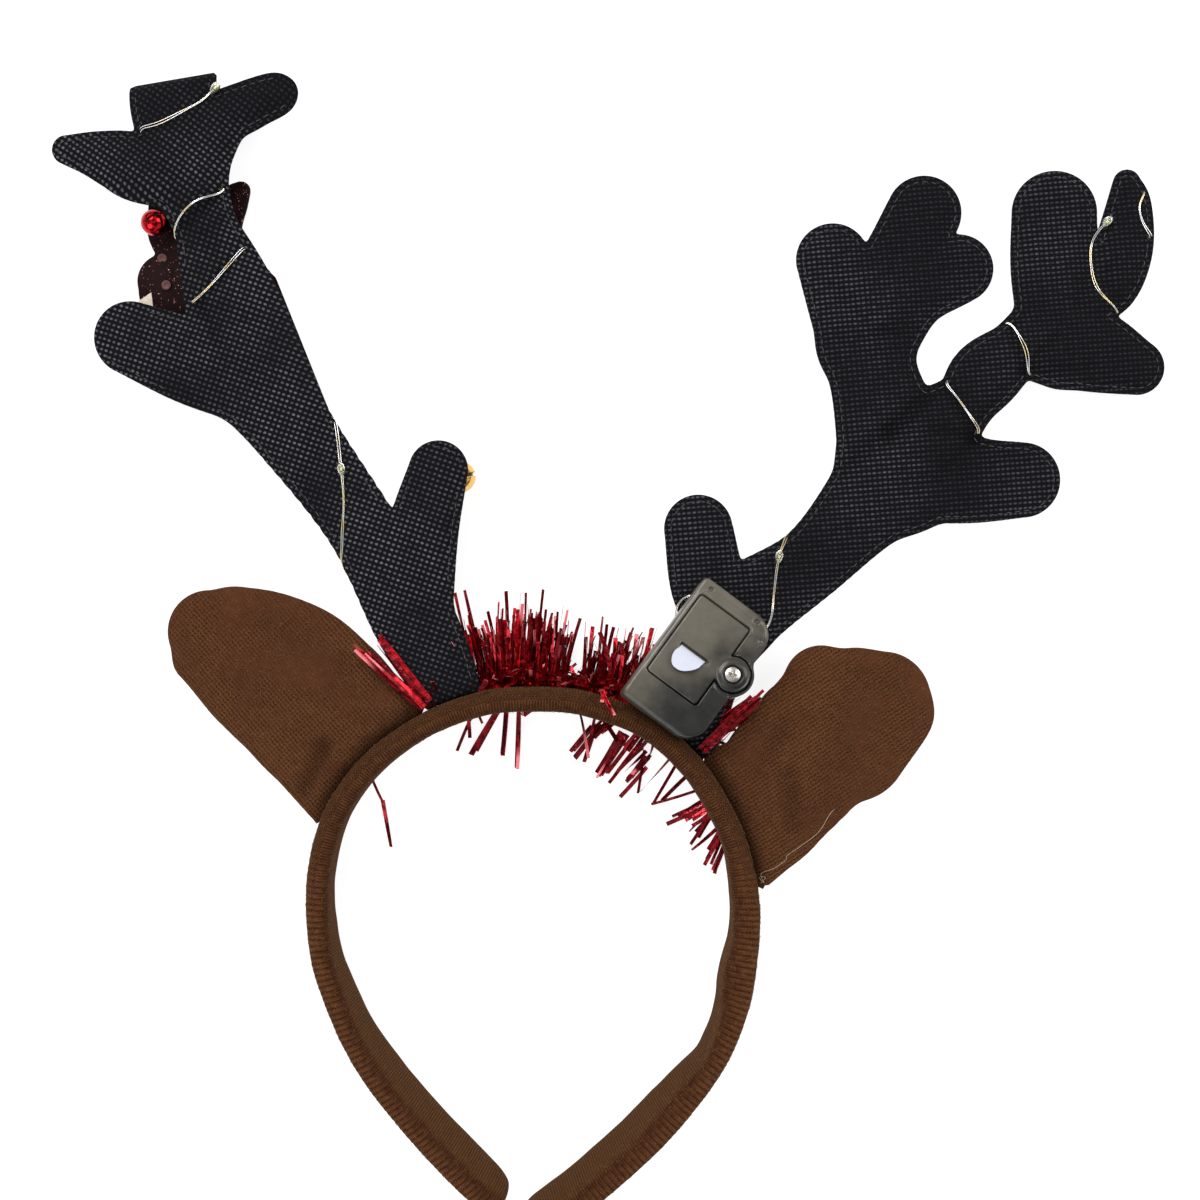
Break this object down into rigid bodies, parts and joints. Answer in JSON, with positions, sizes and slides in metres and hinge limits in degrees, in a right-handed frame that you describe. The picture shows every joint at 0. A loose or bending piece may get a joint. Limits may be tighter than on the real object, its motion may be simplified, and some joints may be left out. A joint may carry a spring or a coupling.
{
  "type": "reindeer antler headband",
  "caption": "Costume headband lying face down: knit-covered band, stuffed antlers and ears, tinsel garland, small bells, and a string of lights with its battery box.",
  "frame": {"origin": "centre of the bounding box's base, on the surface that the headband lies on", "axes": "+Y from the band's ends to the antlers' tips, +Z to the wearer's back (up as it lies), +X to the right as seen from the back"},
  "size_m": [0.3713, 0.3857, 0.0354],
  "materials": {
    "antler_cloth": "black non-woven cloth with an embossed lattice of small dots; the front face is dark maroon glitter",
    "brown_knit": "brown brushed knit with fine ribs",
    "tinsel_film": "crimson metallised film in narrow strips",
    "case_plastic": "dark olive-grey moulded plastic, glossy",
    "screw_steel": "bright plated steel",
    "tab_film": "pale lilac-white film",
    "silver_wire": "bright silver wire, two strands side by side",
    "clear_drop": "clear yellow-green resin drop",
    "red_metal": "red lacquered metal, glossy",
    "gold_metal": "polished gold-coloured metal",
    "cream_cloth": "plain cream cloth"
  },
  "bodies": {
    "root": {"antler_left": "antler_cloth", "antler_right": "antler_cloth", "battery_case": "case_plastic", "battery_door": "case_plastic", "cream_flap": "cream_cloth", "door_screw": "screw_steel", "ear_left": "brown_knit", "ear_right": "brown_knit", "gold_bell": "gold_metal", "headband": "brown_knit", "led_drop_1": "clear_drop", "led_drop_2": "clear_drop", "led_drop_3": "clear_drop", "led_drop_4": "clear_drop", "light_wire_left_1": "silver_wire", "light_wire_left_2": "silver_wire", "light_wire_right_0": "silver_wire", "light_wire_right_1": "silver_wire", "light_wire_right_2": "silver_wire", "light_wire_right_3": "silver_wire", "pull_tab": "tab_film", "red_bell": "red_metal", "tinsel_garland": "tinsel_film"}
  },
  "joints": []
}
